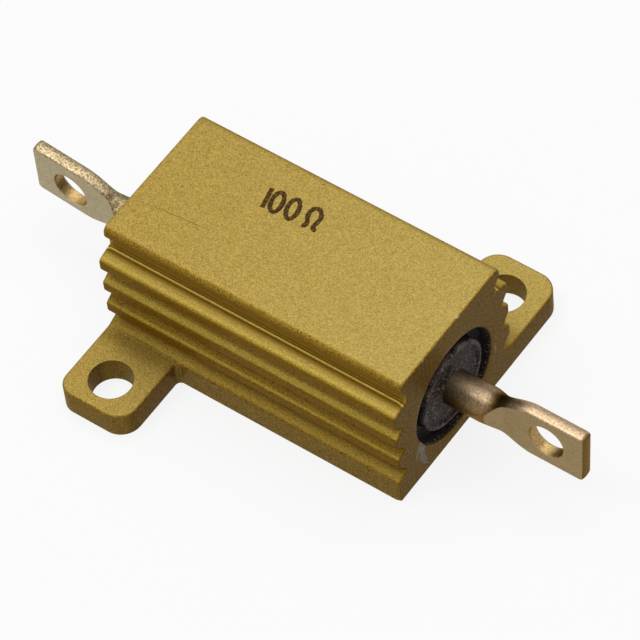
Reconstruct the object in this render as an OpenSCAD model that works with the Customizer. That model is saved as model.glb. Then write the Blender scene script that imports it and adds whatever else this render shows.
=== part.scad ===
// Wirewound power resistor for a chassis, in a finned aluminium housing.
// Sizes are in millimetres. X runs along the terminals, Z is up, the base lies on z = 0.
// The bore and the walls round it set the width and height of the housing.

/* [Housing] */
// Length of the extruded housing, along the terminals
housing_length = 19.05; // [16:0.05:26]
// Diameter of the bore through the housing
bore_diameter = 6.9; // [6:0.1:9]
// Wall left under the bore
floor_wall = 0.74; // [0.5:0.02:2]
// Metal above the bore, up to the flat top
roof_wall = 1.86; // [1.4:0.02:3]
// Wall between the bore and the bottom of the side grooves
side_wall = 1.1; // [0.7:0.05:2]

/* [Fins] */
// Number of fins on each side
fin_count = 3; // [2:1:4]
// How far a fin stands out from the bottom of its grooves
fin_depth = 0.65; // [0.4:0.05:1]
// Height of the blunt tip of a fin
fin_tip_height = 0.72; // [0.4:0.02:0.9]
// Radius on both edges of a fin tip
fin_tip_radius = 0.28; // [0.1:0.02:0.4]
// How far the upper face of a fin falls towards its tip
fin_fall = 0.3; // [0.2:0.05:0.5]
// Radius at the bottom of a groove
groove_radius = 0.14; // [0.05:0.01:0.2]
// Height of the first fin above the flange
fin_lift = 0.5; // [0.4:0.05:1]

/* [Top plate] */
// Height of the side of the top plate
top_side_height = 0.7; // [0.6:0.05:1.4]
// Radius along the long edges of the flat top
top_edge_radius = 0.45; // [0.1:0.05:0.6]
// Height of the deeper groove under the top plate
neck_height = 1.05; // [0.8:0.05:1.4]
// Height of the upright wall at the bottom of that groove
neck_wall_height = 0.5; // [0.3:0.05:0.7]
// How much deeper that groove is than the others
neck_undercut = 0.4; // [0.2:0.05:0.8]
// How far the top plate overhangs that groove
top_overhang = 0.34; // [0.3:0.02:0.8]
// Radius of the fine bead drawn along the upper fin
bead_radius = 0.07; // [0.04:0.01:0.1]
// Distance of the bead from the bottom of the groove
bead_offset = 0.2; // [0.16:0.02:0.4]

/* [Flange and ears] */
// Thickness of the ears
flange_thickness = 1.7; // [1.2:0.05:2.4]
// How far the flange stands out past the bottom of the grooves
flange_step = 0.785; // [0.7:0.005:1.5]
// How much the flange rises from the ear level to the body
flange_rise = 0.32; // [0.15:0.01:0.4]
// How much the flange falls from the ear level to its outer edge
flange_fall = 0.05; // [0.05:0.01:0.3]
// Radius along the upper edge of the flange
flange_edge_radius = 0.15; // [0.05:0.05:0.25]
// Radius of the hollow where an ear runs up to the body
ear_blend_radius = 2; // [0.5:0.1:2.5]
// Radius of the outer corners of an ear
ear_corner_radius = 1.25; // [0.4:0.05:1.6]
// Radius in the corner between an ear and the flange
ear_root_radius = 0.35; // [0.1:0.05:0.8]
// Diameter of a mounting hole
mount_hole_diameter = 2.39; // [1.8:0.01:3.2]
// From the end of the housing to the centre of a mounting hole
mount_hole_inset = 2.39; // [2:0.01:3.5]
// From the side of the flange to the centre of a mounting hole
mount_hole_reach = 2.605; // [2:0.005:4]
// Metal between a mounting hole and the outer edge of its ear
ear_rim = 0.915; // [0.5:0.005:2]
// Metal between a mounting hole and the inner edge of its ear
ear_wall = 1; // [0.5:0.05:2]

/* [Moulding] */
// Thickness of the moulding round the end caps
moulding_wall = 0.95; // [0.5:0.05:1.3]
// Width of the sunk ring between the raised disc and the bore
ring_width = 0.78; // [0.4:0.02:1.2]
// Depth of the sunk ring below the end of the housing
ring_depth = 0.7; // [0.3:0.05:1.2]
// Width of the raised lip round the disc
lip_width = 0.3; // [0.15:0.05:0.5]
// Depth of the disc inside its lip
dish_depth = 0.15; // [0.05:0.05:0.3]

/* [Element] */
// From the end of the housing to the outer face of an end cap
end_cover = 3.5; // [2.5:0.1:4.5]
// Thickness of the flat end of a cap
cap_end_thickness = 0.4; // [0.2:0.05:0.8]
// Thickness of the skirt of a cap
cap_wall = 0.4; // [0.3:0.05:0.6]
// Length of the skirt of a cap over the core
cap_skirt_length = 1.9; // [1:0.1:2.5]
// Diameter of the resistance wire
wire_diameter = 0.32; // [0.2:0.02:0.4]
// Distance from one turn of the wire to the next
winding_pitch = 1; // [0.8:0.05:1.5]
// Room between the wire and the core, and between the wire and the moulding
winding_clearance = 0.05; // [0.05:0.01:0.1]

/* [Terminals] */
// How far a terminal stands out past the end of the housing
terminal_reach = 8.3; // [7:0.1:11]
// Diameter of the round shank
shank_diameter = 2.06; // [1.6:0.02:2.6]
// Length of round shank outside the housing
shank_length = 2.4; // [1.5:0.1:3]
// Length over which the shank is squeezed to the thickness of the tab
squeeze_length = 0.85; // [0.5:0.05:1.5]
// Length over which the shank spreads to the width of the tab
spread_length = 2; // [1.5:0.1:2.5]
// Radius of the bends where the shank is squeezed and spread
forming_radius = 0.9; // [0.3:0.1:1.2]
// Width of the flat tab
tab_width = 3.55; // [3:0.05:4.5]
// Thickness of the flat tab
tab_thickness = 0.8; // [0.5:0.05:1.2]
// Radius of the corners at the end of the tab
tab_corner_radius = 0.3; // [0.1:0.05:0.6]
// Diameter of the hole through the tab
eye_diameter = 2.16; // [1.6:0.02:2.4]
// From the end of the tab to the centre of its hole
eye_setback = 2.33; // [2:0.01:3]

/* [Hidden] */
$fn = 96;

// Cuts run this far past the faces that they open
cut_past = 1;
// A rounded corner reaches this share of its radius past the corner, so that faces cross cleanly
corner_past = 0.2;
// Its arc is larger by this factor, so that it crosses the faces beside it at a slight angle
corner_ease = 1.002;

// Housing, as seen from its end
end_x = housing_length / 2;
bore_radius = bore_diameter / 2;
axis_z = floor_wall + bore_radius;
top_z = axis_z + bore_radius + roof_wall;
groove_y = bore_radius + side_wall;
tip_y = groove_y + fin_depth;
neck_y = groove_y - neck_undercut;
top_y = neck_y + top_overhang;
base_y = groove_y + flange_step;
flange_root_z = flange_thickness + flange_rise;
flange_edge_z = flange_thickness - flange_fall;
fins_from_z = flange_thickness + fin_lift;
top_side_z = top_z - top_side_height;
neck_z = top_side_z - neck_height;
fin_pitch = (neck_z - fins_from_z) / fin_count;
fin_underside_height = fin_pitch - fin_tip_height - fin_fall;
// Fall of the upper fin's face for each millimetre away from the neck
upper_fin_slope = fin_fall / (tip_y - neck_y);

// Ears
mount_hole_radius = mount_hole_diameter / 2;
mount_hole_x = end_x - mount_hole_inset;
mount_hole_y = base_y + mount_hole_reach;
ear_y = mount_hole_y + mount_hole_radius + ear_rim;
ear_x = mount_hole_x - mount_hole_radius - ear_wall;
// Where the slope of the flange meets the level of the ear
ear_level_y = groove_y + flange_step * flange_rise / (flange_rise + flange_fall);

// Moulding and element
ring_x = end_x - ring_depth;
disc_radius = bore_radius - ring_width;
cap_radius = bore_radius - moulding_wall;
core_radius = cap_radius - cap_wall;
cap_face_x = end_x - end_cover;
core_end_x = cap_face_x - cap_end_thickness;
skirt_x = core_end_x - cap_skirt_length;
wire_radius = wire_diameter / 2;
winding_radius = core_radius + winding_clearance + wire_radius;
winding_room_radius = winding_radius + wire_radius + winding_clearance;
winding_turns = 2 * skirt_x / winding_pitch;
// Half the angle over which one turn of wire crosses a plane square to the core
wire_sweep = 180 * wire_diameter / winding_pitch;
wire_section_points = 16;
winding_steps_per_turn = 16;

// Terminals
shank_radius = shank_diameter / 2;
tab_end_x = end_x + terminal_reach;
shank_end_x = end_x + shank_length;
spread_end_x = shank_end_x + spread_length;
squeeze_end_x = shank_end_x + squeeze_length;
eye_x = tab_end_x - eye_setback;

function unit(v) = v / norm(v);
function wrap(i, count) = (i + count) % count;
function flat(corner) = [corner[0], corner[1]];
function mirrored(corners) = [
  for (i = [len(corners) - 1 : -1 : 0]) [-corners[i][0], corners[i][1], corners[i][2]]
];

// Sliver between a corner and the arc that rounds it
module corner_sliver(before, corner, after, radius) {
  to_before = unit(before - corner);
  to_after = unit(after - corner);
  inward = unit(to_before + to_after);
  half_angle = acos(to_before * to_after) / 2;
  run = radius / tan(half_angle);
  centre = corner + inward * radius / sin(half_angle);
  difference() {
    polygon([
      corner - inward * radius * corner_past,
      corner + to_before * run,
      centre,
      corner + to_after * run
    ]);
    translate(centre) circle(r = radius * corner_ease);
  }
}

// Slivers at the corners that turn one way: 1 for outer corners, -1 for inner ones
module corner_slivers(corners, way) {
  count = len(corners);
  for (i = [0 : count - 1]) {
    before = flat(corners[wrap(i - 1, count)]);
    corner = flat(corners[i]);
    after = flat(corners[wrap(i + 1, count)]);
    if (corners[i][2] > 0 && cross(corner - before, after - corner) * way > 0)
      corner_sliver(before, corner, after, corners[i][2]);
  }
}

// Outline with a radius at each corner, from [x, y, radius] in anticlockwise order
module rounded_outline(corners) {
  difference() {
    union() {
      polygon([for (corner = corners) flat(corner)]);
      corner_slivers(corners, -1);
    }
    corner_slivers(corners, 1);
  }
}

// Draws a Y-Z outline along X
module along_x(from_x, to_x) {
  translate([from_x, 0, 0])
    rotate([90, 0, 90])
      linear_extrude(height = to_x - from_x) children();
}

// Cylinder lying along X on the axis of the bore
module axial_cylinder(radius, from_x, to_x) {
  translate([from_x, 0, axis_z])
    rotate([0, 90, 0])
      cylinder(r = radius, h = to_x - from_x);
}

// One fin, from the groove under it to its upper edge
function fin_corners(i) =
  let (root_z = fins_from_z + i * fin_pitch)
  [
    [groove_y, root_z, groove_radius],
    [tip_y, root_z + fin_underside_height, fin_tip_radius],
    [tip_y, root_z + fin_underside_height + fin_tip_height, fin_tip_radius]
  ];

// Right side of the extrusion, from the base up to the flat top
side_corners = concat(
  [
    [base_y, 0, 0],
    [base_y, flange_edge_z, flange_edge_radius],
    [groove_y, flange_root_z, groove_radius]
  ],
  [for (i = [0 : fin_count - 1], corner = fin_corners(i)) corner],
  [
    [neck_y, neck_z, groove_radius],
    [neck_y, neck_z + neck_wall_height, groove_radius],
    [top_y, top_side_z, groove_radius],
    [top_y, top_z, top_edge_radius]
  ]
);

// Section of the extrusion without its bore
module housing_section() {
  rounded_outline(concat(side_corners, mirrored(side_corners)));
  for (side = [-1, 1])
    translate([side * (neck_y + bead_offset), neck_z - bead_offset * upper_fin_slope])
      circle(r = bead_radius);
}

// Plan of the ear at the far right corner, with its foot inside the flange
module ear_plan() {
  rounded_outline([
    [end_x, groove_y, 0],
    [end_x, ear_y, ear_corner_radius],
    [ear_x, ear_y, ear_corner_radius],
    [ear_x, base_y, ear_root_radius],
    [ear_x - ear_root_radius, base_y, 0],
    [ear_x, groove_y, 0]
  ]);
}

// Ear, with the hollow where it runs up to the body
module ear() {
  linear_extrude(height = flange_thickness) ear_plan();
  along_x(ear_x, end_x)
    corner_sliver(
      [groove_y, flange_root_z],
      [ear_level_y, flange_thickness],
      [ear_y, flange_thickness],
      ear_blend_radius
    );
}

// Extruded, finned housing with an ear on two opposite corners
module housing() {
  color("#a98a32")
    difference() {
      union() {
        along_x(-end_x, end_x) housing_section();
        for (turn = [0, 180])
          rotate([0, 0, turn]) ear();
      }
      axial_cylinder(bore_radius, -end_x - cut_past, end_x + cut_past);
      for (side = [-1, 1])
        translate([side * mount_hole_x, side * mount_hole_y, -cut_past])
          cylinder(r = mount_hole_radius, h = flange_thickness + 2 * cut_past);
    }
}

// Compound moulded round the element, with a lipped disc and a sunk ring at each end
module encapsulant() {
  color("#3b3a3d")
    difference() {
      union() {
        axial_cylinder(bore_radius, -ring_x, ring_x);
        axial_cylinder(disc_radius, -end_x, end_x);
      }
      axial_cylinder(shank_radius, -end_x - cut_past, end_x + cut_past);
      axial_cylinder(cap_radius, -cap_face_x, -skirt_x);
      axial_cylinder(winding_room_radius, -skirt_x, skirt_x);
      axial_cylinder(cap_radius, skirt_x, cap_face_x);
      axial_cylinder(disc_radius - lip_width, end_x - dish_depth, end_x + cut_past);
      axial_cylinder(disc_radius - lip_width, -end_x - cut_past, dish_depth - end_x);
    }
}

// Round rod that carries the winding
module ceramic_core() {
  color("#e6dfd0") axial_cylinder(core_radius, -core_end_x, core_end_x);
}

// Wire wound on the core in one helix, from the rim of one cap to the rim of the other
module resistance_winding() {
  section = [
    for (i = [0 : wire_section_points - 1])
      let (
        around = 360 * i / wire_section_points,
        radius = winding_radius + wire_radius * sin(around),
        angle = wire_sweep * cos(around)
      )
      [radius * cos(angle), radius * sin(angle)]
  ];
  color("#a9825a")
    translate([-skirt_x, 0, axis_z])
      rotate([0, 90, 0])
        linear_extrude(
          height = 2 * skirt_x,
          twist = -360 * winding_turns,
          slices = ceil(winding_turns * winding_steps_per_turn),
          $fn = wire_section_points
        ) polygon(section);
}

// Cap pressed on the right end of the core
module end_cap() {
  difference() {
    axial_cylinder(cap_radius, skirt_x, cap_face_x);
    axial_cylinder(core_radius, skirt_x - cut_past, core_end_x);
  }
}

module end_cap_left() {
  color("#b7babd") mirror([1, 0, 0]) end_cap();
}

module end_cap_right() {
  color("#b7babd") end_cap();
}

// Turned outline of the right terminal: round shank that spreads to the width of the tab
module terminal_turned() {
  translate([0, 0, axis_z])
    rotate([0, 90, 0])
      rotate_extrude()
        rounded_outline([
          [0, cap_face_x, 0],
          [shank_radius, cap_face_x, 0],
          [shank_radius, shank_end_x, forming_radius],
          [tab_width / 2, spread_end_x, forming_radius],
          [tab_width / 2, tab_end_x, tab_corner_radius],
          [0, tab_end_x, 0]
        ]);
}

// Plan of the right terminal: the press squeezes the shank to the thickness of the tab
module terminal_plan() {
  side = [
    [squeeze_end_x, tab_thickness / 2, forming_radius],
    [shank_end_x, shank_radius, 0],
    [cap_face_x, shank_radius, 0]
  ];
  rounded_outline(concat(
    [
      [tab_end_x, -tab_thickness / 2, 0],
      [tab_end_x, tab_thickness / 2, 0]
    ],
    side,
    [for (i = [len(side) - 1 : -1 : 0]) [side[i][0], -side[i][1], side[i][2]]]
  ));
}

// Right terminal, with the hole through its tab
module terminal() {
  difference() {
    intersection() {
      terminal_turned();
      translate([0, 0, axis_z - tab_width])
        linear_extrude(height = 2 * tab_width) terminal_plan();
    }
    translate([eye_x, tab_thickness, axis_z])
      rotate([90, 0, 0])
        cylinder(r = eye_diameter / 2, h = 2 * tab_thickness);
  }
}

module terminal_left() {
  color("#b9a78a") mirror([1, 0, 0]) terminal();
}

module terminal_right() {
  color("#b9a78a") terminal();
}

housing();
encapsulant();
ceramic_core();
resistance_winding();
end_cap_left();
end_cap_right();
terminal_left();
terminal_right();
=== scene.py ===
import bmesh
import bpy
import numpy as np
from mathutils import Matrix, Vector


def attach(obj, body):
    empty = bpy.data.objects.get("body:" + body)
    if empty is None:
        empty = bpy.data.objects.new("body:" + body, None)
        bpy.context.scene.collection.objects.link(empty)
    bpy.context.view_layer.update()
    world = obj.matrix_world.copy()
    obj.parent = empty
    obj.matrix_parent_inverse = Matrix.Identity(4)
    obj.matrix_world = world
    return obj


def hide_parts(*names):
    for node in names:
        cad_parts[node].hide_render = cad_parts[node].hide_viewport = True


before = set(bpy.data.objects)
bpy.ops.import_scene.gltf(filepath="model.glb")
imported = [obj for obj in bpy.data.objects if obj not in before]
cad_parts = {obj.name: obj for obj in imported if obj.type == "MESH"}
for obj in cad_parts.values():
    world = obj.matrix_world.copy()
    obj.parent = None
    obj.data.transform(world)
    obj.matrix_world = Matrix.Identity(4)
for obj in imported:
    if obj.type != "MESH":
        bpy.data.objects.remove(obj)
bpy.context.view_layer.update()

# Ceramic core
# The rod that carries the winding, at the middle of the part and hidden by the moulding.
# It is steatite, pressed from powder and fired, so it is off-white with a faint speckle.
MM = 0.001


def linear(code):
    """Colour of an sRGB hex code in linear light: each channel c becomes ((c + 0.055) / 1.055) ^ 2.4,
    or c / 12.92 in the darkest part of the range."""
    channels = np.array([int(code[i:i + 2], 16) for i in (1, 3, 5)]) / 255
    bright = ((channels + 0.055) / 1.055) ** 2.4
    return (*np.where(channels <= 0.04045, channels / 12.92, bright).tolist(), 1.0)


def per_mm(size):
    """Scale of a pattern whose grains are size millimetres across, on coordinates in metres."""
    return 1 / (size * MM)


def add(tree, kind, inputs=None, **settings):
    """Adds a node. The settings go on the node, and each input takes a value or an output to link."""
    node = tree.nodes.new(kind)
    for name, value in settings.items():
        setattr(node, name, value)
    for name, value in (inputs or {}).items():
        if isinstance(value, bpy.types.NodeSocket):
            tree.links.new(value, node.inputs[name])
        else:
            node.inputs[name].default_value = value
    return node


def start_material(name):
    """A new material with its own tree, its shader and the object coordinates of the surface."""
    material = bpy.data.materials.new(name)
    material.use_nodes = True
    tree = material.node_tree
    place = add(tree, "ShaderNodeTexCoord")
    return material, tree, tree.nodes["Principled BSDF"], place


def dress(node, material):
    """Puts a material on a CAD node's own slots."""
    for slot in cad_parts[node].material_slots:
        slot.material = material


# Fired steatite: matt, off-white, with darker grains of about a quarter of a millimetre.
STEATITE_GRAIN = 0.25
steatite, tree, shader, place = start_material("fired_steatite")
grains = add(tree, "ShaderNodeTexNoise", {
    "Vector": place.outputs["Object"], "Scale": per_mm(STEATITE_GRAIN), "Detail": 4.0,
})
tint = add(tree, "ShaderNodeMix", {0: grains.outputs["Fac"], 6: linear("#efe9dc"), 7: linear("#d9d0bd")},
           data_type="RGBA")
relief = add(tree, "ShaderNodeBump", {
    "Height": grains.outputs["Fac"], "Strength": 0.4, "Distance": 0.01 * MM,
})
tree.links.new(tint.outputs[2], shader.inputs["Base Color"])
tree.links.new(relief.outputs["Normal"], shader.inputs["Normal"])
shader.inputs["Roughness"].default_value = 0.65
dress("ceramic_core", steatite)

# End caps
# Cups drawn from thin stainless steel and pressed on the ends of the core.
# Drawing leaves fine lines round the skirt.
DRAWN_LINE = 0.06
drawn_steel, tree, shader, place = start_material("drawn_stainless_steel")
lines = add(tree, "ShaderNodeTexNoise", {"Scale": per_mm(DRAWN_LINE), "Detail": 3.0})
squeezed = add(tree, "ShaderNodeMapping", {"Vector": place.outputs["Object"], "Scale": (1.0, 0.05, 0.05)})
tree.links.new(squeezed.outputs["Vector"], lines.inputs["Vector"])
tint = add(tree, "ShaderNodeMix", {0: lines.outputs["Fac"], 6: linear("#c3c5c8"), 7: linear("#a3a6aa")},
           data_type="RGBA")
gloss = add(tree, "ShaderNodeMapRange", {"Value": lines.outputs["Fac"], "To Min": 0.28, "To Max": 0.42})
tree.links.new(tint.outputs[2], shader.inputs["Base Color"])
tree.links.new(gloss.outputs["Result"], shader.inputs["Roughness"])
shader.inputs["Metallic"].default_value = 1.0
for cap in ("end_cap_left", "end_cap_right"):
    dress(cap, drawn_steel)

# Resistance winding
# One length of copper and nickel wire wound on the core, welded to the rims of the caps.
# The wire is drawn and annealed, so it is brownish with a dull shine and heat tints.
HEAT_TINT = 0.9
winding_wire, tree, shader, place = start_material("annealed_copper_nickel")
tints = add(tree, "ShaderNodeTexNoise", {
    "Vector": place.outputs["Object"], "Scale": per_mm(HEAT_TINT), "Detail": 5.0,
})
tint = add(tree, "ShaderNodeMix", {0: tints.outputs["Fac"], 6: linear("#b98f66"), 7: linear("#8d6b50")},
           data_type="RGBA")
gloss = add(tree, "ShaderNodeMapRange", {"Value": tints.outputs["Fac"], "To Min": 0.3, "To Max": 0.5})
tree.links.new(tint.outputs[2], shader.inputs["Base Color"])
tree.links.new(gloss.outputs["Result"], shader.inputs["Roughness"])
shader.inputs["Metallic"].default_value = 1.0
dress("resistance_winding", winding_wire)

# Terminals
# Copper-clad steel wire, tinned, welded to a cap. A press flattens its outer end to a tab and
# pierces the eye, so the shank runs into the tab by a short slope and the tab's edges stay round.
AXIS_Z = 4.19
CAP_FACE_X = 6.025
END_X = 9.525
SHANK_RADIUS = 1.03
SLOPE_END_X = 12.72
SLOPE = 0.741
SLOPE_SOFTNESS = 0.1
FORMED_FROM_X = 11.5
SQUEEZE_FROM_X = 11.6
SQUEEZE_TO_X = 13.2
SPREAD_FROM_X = 11.8
SPREAD_TO_X = 14.6
TAB_HALF_WIDTH = 1.775
TAB_HALF_THICKNESS = 0.39
TAB_EDGE_DEPTH = 0.2
TAB_EDGE_BULGE = 0.42
TAB_START_X = 14.2
TAB_END_X = 17.825
TAB_CORNER = 0.3
TAB_END_EDGE = 0.1
TAB_CREASE = 0.02
PRESS_RIM = 0.015
EYE_X = 15.495
EYE_RADIUS = 1.08
EYE_RIM = 0.06


def smooth_step(low, high, value):
    """Rises from 0 at low to 1 at high along 3 t^2 - 2 t^3."""
    t = np.clip((value - low) / (high - low), 0, 1)
    return t * t * (3 - 2 * t)


def soft_min(a, b, blend):
    """Smaller of two values, rounded off over a width of about blend where they cross."""
    return 0.5 * (a + b - np.sqrt((a - b) ** 2 + blend ** 2))


def round_edge(depth, radius, height):
    """Height of an elliptical edge at a depth from its outline: height * sqrt(1 - (1 - depth / radius)^2),
    and height beyond the radius."""
    t = 1 - np.clip(depth / radius, 0, 1)
    return height * np.sqrt(1 - t * t)


def shank_half_width(x):
    """Half the width of the terminal at x: the shank's radius, then a smooth spread to the tab's."""
    return SHANK_RADIUS + (TAB_HALF_WIDTH - SHANK_RADIUS) * smooth_step(SPREAD_FROM_X, SPREAD_TO_X, x)


def terminal_form(x, z):
    """Half the thickness of the terminal over the point (x, z) of its middle plane, and whether the press
    flattened it there. The thickness is the smallest of the press's gap, the rounded edges of the section
    and the rounded end of the tab."""
    formed = smooth_step(SQUEEZE_FROM_X, SQUEEZE_TO_X, x)
    width = shank_half_width(x)
    past_corner = np.clip((x - (TAB_END_X - TAB_CORNER)) / TAB_CORNER, 0, 1)
    width = width - TAB_CORNER * (1 - np.sqrt(1 - past_corner ** 2))
    edge_depth = SHANK_RADIUS + (TAB_EDGE_DEPTH - SHANK_RADIUS) * formed
    edge_bulge = SHANK_RADIUS + (TAB_EDGE_BULGE - SHANK_RADIUS) * formed
    edge = round_edge(width - np.abs(z), edge_depth, edge_bulge)
    gap = TAB_HALF_THICKNESS + SLOPE * SLOPE_SOFTNESS * np.logaddexp(0, (SLOPE_END_X - x) / SLOPE_SOFTNESS)
    above_corner = np.clip((np.abs(z) - (TAB_HALF_WIDTH - TAB_CORNER)) / TAB_CORNER, 0, 1)
    end = TAB_END_X - TAB_CORNER * (1 - np.sqrt(1 - above_corner ** 2))
    cut = np.where(x > TAB_START_X, round_edge(end - x, TAB_END_EDGE, TAB_EDGE_BULGE), SHANK_RADIUS)
    from_eye = np.hypot(x - EYE_X, z) - EYE_RADIUS
    rim = EYE_RIM - round_edge(from_eye, EYE_RIM, EYE_RIM)
    free = np.minimum(edge, cut)
    thickness = np.clip(soft_min(free, gap, TAB_CREASE), 0, None) - np.where(x > TAB_START_X, rim, 0)
    return thickness, smooth_step(0, PRESS_RIM, free - gap)


def strip_quads(index, closed=False):
    """Quads between neighbouring rows and columns of an array of vertex numbers."""
    if closed:
        index = np.concatenate([index, index[:, :1]], axis=1)
    corners = (index[:-1, :-1], index[:-1, 1:], index[1:, 1:], index[1:, :-1])
    return np.stack(corners, -1).reshape(-1, 4)


def joined(meshes):
    """Several meshes of points and quads as one: the vertex numbers of each start where the last ones end."""
    points, quads = zip(*meshes)
    firsts = np.cumsum([0, *(len(block) for block in points[:-1])])
    return np.concatenate(points), np.concatenate([faces + first for faces, first in zip(quads, firsts)])


def new_piece(name, points, quads, material, marks=None, weld=0.0005, sharp_deg=35):
    """A closed mesh from points in millimetres: points closer than weld become one, faces turn outwards,
    and edges sharper than sharp_deg stay crisp. Each of the marks is a value per point for the material."""
    mesh = bpy.data.meshes.new(name)
    mesh.from_pydata((points * MM).tolist(), [], quads.tolist())
    for mark, values in (marks or {}).items():
        layer = mesh.attributes.new(mark, "FLOAT", "POINT")
        layer.data.foreach_set("value", np.ravel(values).astype(np.float32))
    work = bmesh.new()
    work.from_mesh(mesh)
    bmesh.ops.remove_doubles(work, verts=work.verts, dist=weld * MM)
    bmesh.ops.recalc_face_normals(work, faces=work.faces)
    work.to_mesh(mesh)
    work.free()
    mesh.shade_smooth()
    mesh.set_sharp_from_angle(angle=np.radians(sharp_deg))
    mesh.materials.append(material)
    piece = bpy.data.objects.new(name, mesh)
    bpy.context.scene.collection.objects.link(piece)
    return piece


def terminal_mesh():
    """Right terminal in millimetres, with the marks of its faces. The shank is rings of z = width * sin(a),
    y = thickness(x, z). Each face of the tab is a fan of lines from the eye's rim to the outline."""
    across = np.sin(np.linspace(-np.pi / 2, np.pi / 2, 65))
    round_x = np.linspace(9.8, FORMED_FROM_X, 12)[:-1]
    formed_x = np.linspace(FORMED_FROM_X, TAB_START_X, 100)
    along = np.concatenate([[CAP_FACE_X, 8.0, 9.2], round_x, formed_x])
    shank_z = shank_half_width(along)[:, None] * across
    shank_x = np.broadcast_to(along[:, None], shank_z.shape)
    shank_y, shank_pressed = terminal_form(shank_x, shank_z)
    turn = np.linspace(0, np.pi / 2, 13)
    corner_x = TAB_END_X - TAB_CORNER * (1 - np.sin(turn))
    corner_z = TAB_HALF_WIDTH - TAB_CORNER * (1 - np.cos(turn))
    side_x = np.linspace(TAB_START_X, TAB_END_X - TAB_CORNER, 49)[:-1]
    side_z = shank_half_width(side_x)
    end_z = np.linspace(-(TAB_HALF_WIDTH - TAB_CORNER), TAB_HALF_WIDTH - TAB_CORNER, 37)[1:-1]
    start_z = side_z[0] * across[::-1]
    outline_x = np.concatenate([side_x, corner_x, np.full(end_z.size, TAB_END_X), corner_x[::-1],
                                side_x[:0:-1], np.full(start_z.size - 1, TAB_START_X)])
    outline_z = np.concatenate([-side_z, -corner_z, end_z, corner_z[::-1], side_z[:0:-1], start_z[:-1]])
    reach = np.hypot(outline_x - EYE_X, outline_z)
    share = ((1 - np.cos(np.linspace(0, np.pi, 61))) / 2)[:, None]
    radius = EYE_RADIUS + (reach - EYE_RADIUS) * share
    face_x = EYE_X + radius * (outline_x - EYE_X) / reach
    face_z = radius * outline_z / reach
    face_y, face_pressed = terminal_form(face_x, face_z)
    wall_y = np.linspace(-1, 1, 7)[:, None] * face_y[:1]
    wall_x, wall_z = (np.broadcast_to(a[:1], wall_y.shape) for a in (face_x, face_z))
    cap_y = np.array([-1.0, 1.0])[:, None] * shank_y[:1]
    cap_x, cap_z = np.full(cap_y.shape, CAP_FACE_X), np.broadcast_to(shank_z[:1], cap_y.shape)
    sheets, pressed, pierced = [], [], []
    for x, y, z, press_mark, eye_mark, closed in (
        (shank_x, -shank_y, shank_z, shank_pressed, 0, False),
        (shank_x, shank_y, shank_z, shank_pressed, 0, False),
        (face_x, -face_y, face_z, face_pressed, 0, True),
        (face_x, face_y, face_z, face_pressed, 0, True),
        (wall_x, wall_y, wall_z, 0, 1, True),
        (cap_x, cap_y, cap_z, 0, 0, False),
    ):
        quads = strip_quads(np.arange(x.size).reshape(x.shape), closed)
        sheets.append((np.stack([x, y, z], -1).reshape(-1, 3), quads))
        pressed.append(np.broadcast_to(press_mark, x.shape).ravel())
        pierced.append(np.full(x.size, eye_mark))
    marks = {"pressed": np.concatenate(pressed), "pierced": np.concatenate(pierced)}
    return *joined(sheets), marks


BEND_FROM_X = 9.6
BEND_TO_X = 12.6
EYE_LAND = 0.6


def set_terminal(points, degrees, pulled, rise, eye_drop):
    """Points of a terminal pulled out of the moulding by a length, with its tab turned about the axis by an
    angle that grows along the spread, and bent so that it rises along x by a slope about its eye. The eye is
    moved down by its drop, which fades out towards the tab's edges."""
    x = points[:, 0] + pulled * smooth_step(CAP_FACE_X, END_X, points[:, 0])
    angle = np.radians(degrees) * smooth_step(SPREAD_FROM_X, SPREAD_TO_X, points[:, 0])
    y = points[:, 1] * np.cos(angle) + points[:, 2] * np.sin(angle)
    z = points[:, 2] * np.cos(angle) - points[:, 1] * np.sin(angle)
    bend = rise * (points[:, 0] - EYE_X) * smooth_step(BEND_FROM_X, BEND_TO_X, points[:, 0])
    from_eye = np.hypot(points[:, 0] - EYE_X, points[:, 2]) - EYE_RADIUS
    bend = bend - eye_drop * smooth_step(EYE_LAND, EYE_RIM, from_eye)
    return np.stack([x, y, AXIS_Z + z + bend], -1)


def ramp(tree, value, stops):
    """Colour that runs through the stops (position, hex code) as the value goes from 0 to 1."""
    node = add(tree, "ShaderNodeValToRGB", {"Fac": value})
    elements = node.color_ramp.elements
    for element, (position, code) in zip(elements, (stops[0], stops[-1])):
        element.position = position
        element.color = linear(code)
    for position, code in stops[1:-1]:
        elements.new(position).color = linear(code)
    return node


def blemish(tree, place, under, centre, reach, code, turn_deg=0.0, strength=0.7):
    """Colour with one mark over it: an ellipsoid with its centre and half sizes in millimetres, turned about
    Z, and a soft rim."""
    local = add(tree, "ShaderNodeMapping", {
        "Vector": place.outputs["Object"], "Location": [c * MM for c in centre],
        "Rotation": (0, 0, np.radians(turn_deg)), "Scale": [r * MM for r in reach],
    }, vector_type="TEXTURE")
    length = add(tree, "ShaderNodeVectorMath", {0: local.outputs["Vector"]}, operation="LENGTH")
    mask = add(tree, "ShaderNodeMapRange", {
        "Value": length.outputs["Value"], "From Min": 1.0, "From Max": 0.5, "To Max": strength,
    })
    return add(tree, "ShaderNodeMix", {0: mask.outputs["Result"], 6: under.outputs[2], 7: linear(code)},
               data_type="RGBA")


def overlap(tree, *masks):
    """Mask that is full only where all the masks are: their product."""
    shared = masks[0].outputs["Result"]
    for mask in masks[1:]:
        both = add(tree, "ShaderNodeMath", {0: shared, 1: mask.outputs["Result"]}, operation="MULTIPLY")
        shared = both.outputs[0]
    return shared


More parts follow.
